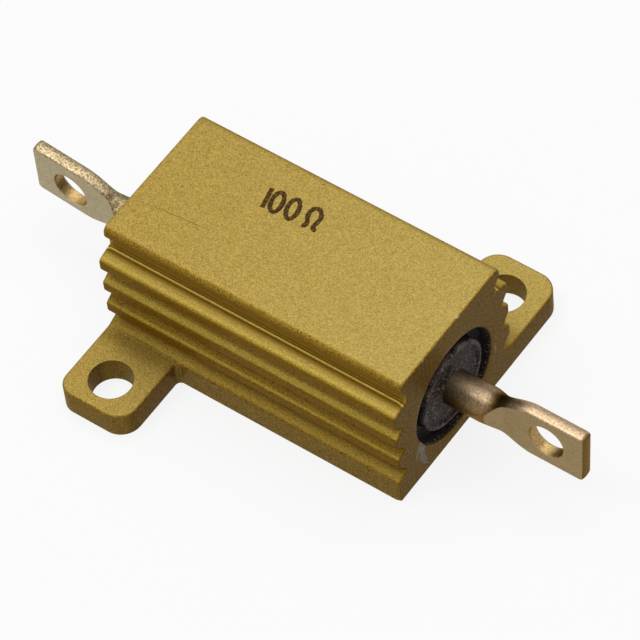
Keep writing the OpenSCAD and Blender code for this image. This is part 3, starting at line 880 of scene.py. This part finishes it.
# Painted sheen and shade: faces that turn up take the bright tone, walls and grooves the deep one, and the
# neck's walls get painted light as well.
tilted = add(tree, "ShaderNodeMapRange", {"Value": facing.outputs["Z"], "From Min": 0.3, "From Max": 0.9},
             interpolation_type="SMOOTHSTEP")
necked = add(tree, "ShaderNodeMapRange", {
    "Value": sideways.outputs[0], "From Min": GROOVE_Y * MM, "From Max": (GROOVE_Y - 0.2) * MM,
})
painted_sheen_mask = add(tree, "ShaderNodeMath", {0: tilted.outputs["Result"], 1: necked.outputs["Result"]},
            operation="MAXIMUM")
painted_sheen = add(tree, "ShaderNodeMix", {0: painted_sheen_mask.outputs[0], 6: wall.outputs[2], 7: bright.outputs[2]},
           data_type="RGBA")
clouded = add(tree, "ShaderNodeMix", {0: mottle.outputs["Fac"], 6: linear("#e9e6de"), 7: linear("#ffffff")},
              data_type="RGBA")
shaded = add(tree, "ShaderNodeMix", {0: 1.0, 6: painted_sheen.outputs[2], 7: clouded.outputs[2]},
             data_type="RGBA", blend_type="MULTIPLY")
# Painted shade on faces that turn up low down and near the ears' roots: the lower fins, the flange and the
# hollow beside each ear.
low = add(tree, "ShaderNodeMapRange", {
    "Value": split.outputs["Z"], "From Min": 6.4 * MM, "From Max": 4.4 * MM,
})
rooted = add(tree, "ShaderNodeMapRange", {
    "Value": sideways.outputs[0], "From Min": 6.6 * MM, "From Max": 5.7 * MM,
}, interpolation_type="SMOOTHSTEP")
painted_low_shade = overlap(tree, low, rooted, tilted)
# Faces that look up turn paler: partly dust, partly painted light from above, which grows towards +x.
top_light_along_x = add(tree, "ShaderNodeMapRange", {
    "Value": split.outputs["X"], "From Min": -END_X * MM, "From Max": END_X * MM, "To Min": 0.38,
    "To Max": 0.6,
})
dust_and_top_light = add(tree, "ShaderNodeMapRange", {
    "Value": facing.outputs["Z"], "From Min": 0.8, "From Max": 1.0, "To Max": top_light_along_x.outputs["Result"],
})
dusted_and_top_lit = add(tree, "ShaderNodeMix", {0: dust_and_top_light.outputs["Result"], 6: shaded.outputs[2], 7: dust_and_top_light_tone.outputs[2]},
             data_type="RGBA")
low_shade_painted = add(tree, "ShaderNodeMix", {0: painted_low_shade, 6: dusted_and_top_lit.outputs[2], 7: linear("#dedac6")},
           data_type="RGBA", blend_type="MULTIPLY")
# Tips of the fins turn paler: partly rubbed, partly a painted highlight.
inner = add(tree, "ShaderNodeMapRange", {
    "Value": split.outputs["Z"], "From Min": 4.2 * MM, "From Max": 5.2 * MM, "To Min": (TIP_Y - 0.24) * MM,
    "To Max": (TIP_Y - 0.42) * MM,
})
near_tip = add(tree, "ShaderNodeMath", {0: sideways.outputs[0], 1: inner.outputs["Result"]},
               operation="SUBTRACT")
near_tip = add(tree, "ShaderNodeMapRange", {
    "Value": near_tip.outputs[0], "From Max": 0.16 * MM, "To Max": 0.62,
}, interpolation_type="SMOOTHSTEP")
on_fin = add(tree, "ShaderNodeMapRange", {
    "Value": split.outputs["Z"], "From Min": FIN_FROM_Z * MM, "From Max": (FIN_FROM_Z + 0.4) * MM,
    "To Min": 0.15,
})
before_tip = add(tree, "ShaderNodeMapRange", {
    "Value": sideways.outputs[0], "From Min": TIP_Y * MM, "From Max": (TIP_Y - 0.1) * MM,
})
rubbed_and_highlit = overlap(tree, near_tip, on_fin, tilted, before_tip)
worn = add(tree, "ShaderNodeMix", {0: rubbed_and_highlit, 6: low_shade_painted.outputs[2], 7: burnished_and_highlit.outputs[2]}, data_type="RGBA")
# Painted light and shade in bands across the neck: light on the neck wall, shade in the creases either side
# of the bead, a highlight on the bead and shade on the upper fin near the neck, grained by the etch.
rootward = add(tree, "ShaderNodeMapRange", {
    "Value": sideways.outputs[0], "From Min": (NECK_Y - 0.05) * MM, "From Max": (NECK_Y + 0.65) * MM,
})
neck_light_and_shade = ramp(tree, rootward.outputs["Result"], (
    (0.0, "#c69e3b"), (0.1, "#c69e3b"), (0.14, "#73561a"), (0.24, "#73561a"), (0.3, "#d6ba5a"),
    (0.41, "#d6ba5a"), (0.47, "#745716"), (0.56, "#7b5e1b"), (0.9, "#ab8f42"), (1.0, "#b39a4c"),
))
pitted = add(tree, "ShaderNodeMapRange", {"Value": speckle.outputs["Result"], "To Min": 0.8, "To Max": 1.2})
neck_light_and_shade = add(tree, "ShaderNodeMix", {0: 1.0, 6: neck_light_and_shade.outputs["Color"], 7: pitted.outputs["Result"]},
             data_type="RGBA", blend_type="MULTIPLY")
under_top = add(tree, "ShaderNodeMapRange", {
    "Value": split.outputs["Z"], "From Min": (TOP_SIDE_Z - 0.2) * MM, "From Max": (TOP_SIDE_Z - 0.5) * MM,
})
above_fin = add(tree, "ShaderNodeMapRange", {
    "Value": split.outputs["Z"], "From Min": (NECK_Z - 0.35) * MM, "From Max": (NECK_Z - 0.25) * MM,
})
by_bead = add(tree, "ShaderNodeMapRange", {
    "Value": sideways.outputs[0], "From Min": (NECK_Y + 0.65) * MM, "From Max": (NECK_Y + 0.5) * MM,
})
neck_band = overlap(tree, under_top, above_fin, by_bead)
etched = add(tree, "ShaderNodeMix", {0: neck_band, 6: worn.outputs[2], 7: neck_light_and_shade.outputs[2]}, data_type="RGBA")
blotch = add(tree, "ShaderNodeTexNoise", {
    "Vector": place.outputs["Object"], "Scale": per_mm(BLOTCH), "Detail": 5.0, "Roughness": 0.7,
})
blotched = add(tree, "ShaderNodeMapRange", {
    "Value": blotch.outputs["Fac"], "From Min": 0.36, "From Max": 0.64,
})
cut = add(tree, "ShaderNodeMix", {0: blotched.outputs["Result"], 6: linear("#5b4217"), 7: linear("#8f6e35")},
          data_type="RGBA")
radius = from_axis(tree, place)
bored = add(tree, "ShaderNodeMapRange", {
    "Value": radius.outputs["Value"], "From Min": (BORE_RADIUS + 0.15) * MM,
    "From Max": (BORE_RADIUS + 0.09) * MM,
})
# Sawn ends and bore take a browner, blotched tone: their own, and on the ends partly painted shade as well.
machined_and_shaded = add(tree, "ShaderNodeMath", {0: sawn_and_shaded.outputs["Result"], 1: bored.outputs["Result"]},
               operation="MAXIMUM")
tint = add(tree, "ShaderNodeMix", {0: machined_and_shaded.outputs[0], 6: etched.outputs[2], 7: cut.outputs[2]},
           data_type="RGBA")

# Specks of lint and chipped oxide, a long scratch on the top, pits and a dark line in the near ear's inner
# corner.
for centre, reach, code, turn_deg, strength in (
    ((9.52, 3.76, 3.2), (0.1, 0.1, 0.45), "#a89c8c", 0, 0.5),
    ((9.52, 3.82, 4.19), (0.1, 0.08, 0.08), "#b3a590", 0, 0.6),
    ((9.52, 2.38, 2.12), (0.1, 0.08, 0.08), "#a8998a", 0, 0.6),
    ((9.2, -4.42, 9.42), (0.09, 0.09, 0.12), "#d8cdb4", 0, 0.8),
    ((9.47, 0.78, 9.46), (0.12, 0.14, 0.12), "#cbb98c", 0, 0.7),
    ((9.5, -1.4, 9.42), (0.1, 0.16, 0.1), "#8d805f", 0, 0.7),
    ((9.5, -2.44, 9.4), (0.1, 0.13, 0.12), "#a39a88", 0, 0.8),
    ((8.55, 0.57, 9.49), (0.09, 0.08, 0.09), "#d0b468", 0, 0.7),
    ((-8.28, -5.36, 1.75), (0.08, 0.08, 0.2), "#b0a48c", 0, 0.8),
    ((-7.72, -6.0, 1.7), (0.06, 0.06, 0.1), "#b0a48c", 0, 0.7),
    ((-6.81, -5.1, 4.17), (0.09, 0.1, 0.07), "#b3a68c", 0, 0.8),
    ((-2.33, -5.33, 1.4), (0.08, 0.1, 0.06), "#a89c8a", 0, 0.8),
    ((-2.03, -5.33, 1.08), (0.06, 0.1, 0.06), "#a89c8a", 0, 0.7),
    ((-9.5, 0.67, 9.45), (0.1, 0.13, 0.1), "#4f3a10", 0, 0.8),
    ((-6.5, -1.74, 9.49), (2.5, 0.035, 0.1), "#755d1c", 5.1, 0.7),
    ((-7.54, -0.02, 9.49), (0.07, 0.06, 0.1), "#6f5717", 0, 0.7),
    ((-1.3, 4.07, 9.49), (0.16, 0.05, 0.1), "#6f5717", 20, 0.6),
    ((-0.55, 2.28, 9.49), (0.05, 0.05, 0.1), "#6f5717", 0, 0.7),
    ((-4.83, -5.36, 0.8), (0.05, 0.09, 0.75), "#2e2108", 0, 0.85),
):
    tint = blemish(tree, place, tint, centre, reach, code, turn_deg, strength)
gloss = add(tree, "ShaderNodeMapRange", {"Value": grain.outputs["Fac"], "To Min": 0.36, "To Max": 0.5})
relief = add(tree, "ShaderNodeBump", {
    "Height": grain.outputs["Fac"], "Strength": 0.35, "Distance": 0.02 * MM,
})
tree.links.new(tint.outputs[2], shader.inputs["Base Color"])
tree.links.new(gloss.outputs["Result"], shader.inputs["Roughness"])
tree.links.new(relief.outputs["Normal"], shader.inputs["Normal"])
shader.inputs["Metallic"].default_value = 0.25
shader.inputs["Specular IOR Level"].default_value = 0.035
shader.inputs["Specular Tint"].default_value = linear("#e6d7a6")

housing = new_piece("gold_housing", *housing_mesh(), gold)
added = []
for turned, hole, end_corner in (
    (1, (7.25, 7.81), 1.25),
    (-1, (7.25, 8.09), 0.95),
):
    for points, quads in (ear_mesh(hole, end_corner), root_mesh()):
        added.append(new_piece("ear", points * (turned, turned, 1), quads, gold))
for ear in added:
    union = housing.modifiers.new("union", "BOOLEAN")
    union.operation = "UNION"
    union.solver = "EXACT"
    union.object = ear
fused = bpy.data.meshes.new_from_object(housing.evaluated_get(bpy.context.evaluated_depsgraph_get()))
housing.modifiers.clear()
housing.data = fused
fused.shade_smooth()
fused.set_sharp_from_angle(angle=np.radians(CRISP_DEG))
weighted = housing.modifiers.new("weighted", "WEIGHTED_NORMAL")
weighted.keep_sharp = True
for ear in added:
    bpy.data.objects.remove(ear)
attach(housing, "root")
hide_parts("housing")

# Value stamp
# The resistance in ohms, printed on the top with a rubber stamp in brown marking ink.
# The film is about a hundredth of a millimetre thick and uneven where the stamp pressed lightly.
STAMP_START = np.array([-3.45, 1.0])
STAMP_ALONG = np.array([1.27, 0.095])
STAMP_UP = np.array([-0.31, 1.5])
INK_WIDTH = 0.26
INK_TOP = TOP_Z + 0.008
INK_BOTTOM = TOP_Z - 0.004


def stroke_mesh(path, closed):
    """Ink along a path: rings of four corners at path +- normal * half the width, which swells and thins
    along the path, with a cap at each free end."""
    ahead = np.roll(path, -1, axis=0) - np.roll(path, 1, axis=0) if closed else np.gradient(path, axis=0)
    normal = unit(ahead) @ np.array([[0, 1], [-1, 0]])
    count = np.arange(len(path))[:, None]
    half = INK_WIDTH / 2 * (1 + 0.1 * np.sin(1.9 * count) + 0.07 * np.sin(0.7 * count + 1))
    left, right = path + normal * half, path - normal * half
    edges = np.stack([left, left, right, right], 1)
    corner_heights = np.array([INK_BOTTOM, INK_TOP, INK_TOP, INK_BOTTOM])[:, None]
    heights = np.broadcast_to(corner_heights, (*edges.shape[:2], 1))
    index = np.arange(4 * len(path)).reshape(-1, 4)
    if closed:
        quads = closed_grid(len(path), 4)
    else:
        quads = np.concatenate([strip_quads(index, closed=True), index[[0, -1]]])
    return np.concatenate([edges, heights], -1).reshape(-1, 3), quads


def even_path(corners, count):
    """Points at equal steps along a line through the corners, which are eased by averaging neighbours many
    times."""
    corners = np.array(corners, float)
    steps = np.concatenate([[0], np.cumsum(np.linalg.norm(np.diff(corners, axis=0), axis=1))])
    at = np.linspace(0, steps[-1], count)
    path = np.stack([np.interp(at, steps, corners[:, i]) for i in (0, 1)], -1)
    for _ in range(16):
        path[1:-1] = (path[:-2] + 2 * path[1:-1] + path[2:]) / 4
    return path


one = even_path([(0.24, 0.94), (0.24, 0.06)], 30)
nought = arc((0, 0), 1.0, 0, 352.5, 48) * (0.25, 0.43)
round_top = arc((0, 0), 1.0, 238, -58, 40) * (0.29, 0.36) + (0.36, 0.58)
ohm = even_path([(0.02, 0.06), (0.21, 0.06), *round_top, (0.51, 0.06), (0.7, 0.06)], 70)
strokes = []
for path, start, closed in (
    (one, (0, 0), False),
    (nought, (0.72, 0.5), True),
    (nought, (1.48, 0.5), True),
    (ohm, (2.12, 0), False),
):
    u, v = (path + start).T
    strokes.append(stroke_mesh(STAMP_START + u[:, None] * STAMP_ALONG + v[:, None] * STAMP_UP, closed))

# Marking ink: flat dark brown, thin in patches of a tenth of a millimetre, where the gold shows through.
INK_PATCH = 0.14
ink, tree, shader, place = start_material("brown_marking_ink")
patches = add(tree, "ShaderNodeTexNoise", {
    "Vector": place.outputs["Object"], "Scale": per_mm(INK_PATCH), "Detail": 4.0, "Roughness": 0.65,
})
worn = add(tree, "ShaderNodeMapRange", {"Value": patches.outputs["Fac"], "From Min": 0.45, "From Max": 0.72})
tint = add(tree, "ShaderNodeMix", {0: worn.outputs["Result"], 6: linear("#3d2810"), 7: linear("#7d6128")},
           data_type="RGBA")
gloss = add(tree, "ShaderNodeMapRange", {"Value": patches.outputs["Fac"], "To Min": 0.5, "To Max": 0.8})
tree.links.new(tint.outputs[2], shader.inputs["Base Color"])
tree.links.new(gloss.outputs["Result"], shader.inputs["Roughness"])
shader.inputs["Specular IOR Level"].default_value = 0.1
stamp = new_piece("value_stamp", *joined(strokes), ink)
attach(stamp, "root")

# Studio
# A plain pale floor under a wide soft light from above, with a weaker fill from the left.
# Camera and mirror rays see the floor and the surroundings as white.
FLOOR_HALF = 1.5
FLOOR_Z = -0.00001
FLOOR_WHITENED = 0.84
WORLD_LIGHT = 0.19


def seen_directly(tree):
    """Mask of the rays from the camera and of those that metal or glass sends on: the largest of the three
    marks that a ray carries."""
    rays = add(tree, "ShaderNodeLightPath")
    seen = add(tree, "ShaderNodeMath", {0: rays.outputs["Is Camera Ray"], 1: rays.outputs["Is Glossy Ray"]},
               operation="MAXIMUM")
    return add(tree, "ShaderNodeMath", {0: seen.outputs[0], 1: rays.outputs["Is Transmission Ray"]},
               operation="MAXIMUM")


floor_corners = np.array([(-1, -1), (1, -1), (1, 1), (-1, 1)]) * FLOOR_HALF
floor_mesh = bpy.data.meshes.new("floor")
floor_mesh.from_pydata([(x, y, FLOOR_Z) for x, y in floor_corners.tolist()], [], [(0, 1, 2, 3)])
floor = bpy.data.objects.new("floor", floor_mesh)
bpy.context.scene.collection.objects.link(floor)
paper, tree, shader, place = start_material("white_paper")
shader.inputs["Roughness"].default_value = 0.9
seen = seen_directly(tree)
paper_tint = add(tree, "ShaderNodeMix", {0: seen.outputs[0], 6: linear("#909090"), 7: linear("#f8f8f8")},
                 data_type="RGBA")
tree.links.new(paper_tint.outputs[2], shader.inputs["Base Color"])
whitened = add(tree, "ShaderNodeMath", {0: seen.outputs[0], 1: FLOOR_WHITENED}, operation="MULTIPLY")
white = add(tree, "ShaderNodeEmission", {"Strength": 1.0})
mixed = add(tree, "ShaderNodeMixShader", {0: whitened.outputs[0], 1: shader.outputs[0], 2: white.outputs[0]})
tree.links.new(mixed.outputs[0], tree.nodes["Material Output"].inputs["Surface"])
floor_mesh.materials.append(paper)

world = bpy.data.worlds.new("studio")
bpy.context.scene.world = world
world.use_nodes = True
tree = world.node_tree
seen = seen_directly(tree)
strength = add(tree, "ShaderNodeMapRange", {"Value": seen.outputs[0], "To Min": WORLD_LIGHT, "To Max": 1.0})
tree.links.new(strength.outputs["Result"], tree.nodes["Background"].inputs["Strength"])
tree.nodes["Background"].inputs["Color"].default_value = (1, 1, 1, 1)

for name, position, size, power in (
    ("softbox", (-0.03, 0.05, 0.49), 0.6, 1.95),
    ("front_softbox", (-0.19, -0.16, 0.43), 0.2, 0.3),
):
    lamp = bpy.data.lights.new(name, "AREA")
    lamp.size = size
    lamp.energy = power
    light = bpy.data.objects.new(name, lamp)
    light.location = position
    light.rotation_euler = (-Vector(position)).to_track_quat("-Z", "Y").to_euler()
    bpy.context.scene.collection.objects.link(light)

# Camera
# A long lens above the near right corner, rolled slightly, aimed a little right of the part's middle.
AZIMUTH, ELEVATION, ROLL = np.radians([40.722, 54.073, -6.768])
DISTANCE = 250.888
TARGET = np.array([0.555, 0.358, 3.025])
FOCAL_PIXELS = 4715.894
IMAGE_PIXELS = 640
SENSOR = 36.0
level = np.array([np.cos(AZIMUTH), np.sin(AZIMUTH), 0])
outward = np.array([np.sin(AZIMUTH), -np.cos(AZIMUTH), 0])
backward = outward * np.cos(ELEVATION) + np.array([0, 0, np.sin(ELEVATION)])
upright = np.cross(backward, level)
right = np.cos(ROLL) * level + np.sin(ROLL) * upright
up = np.cos(ROLL) * upright - np.sin(ROLL) * level
lens = bpy.data.cameras.new("camera")
lens.sensor_width = SENSOR
lens.lens = FOCAL_PIXELS / IMAGE_PIXELS * SENSOR
lens.clip_start = 0.01
camera = bpy.data.objects.new("camera", lens)
axes = np.eye(4)
axes[:3, :3] = np.stack([right, up, backward], 1)
axes[:3, 3] = (TARGET + backward * DISTANCE) * MM
camera.matrix_world = Matrix(axes.tolist())
bpy.context.scene.collection.objects.link(camera)
bpy.context.scene.camera = camera
bpy.context.scene.view_settings.view_transform = "Standard"
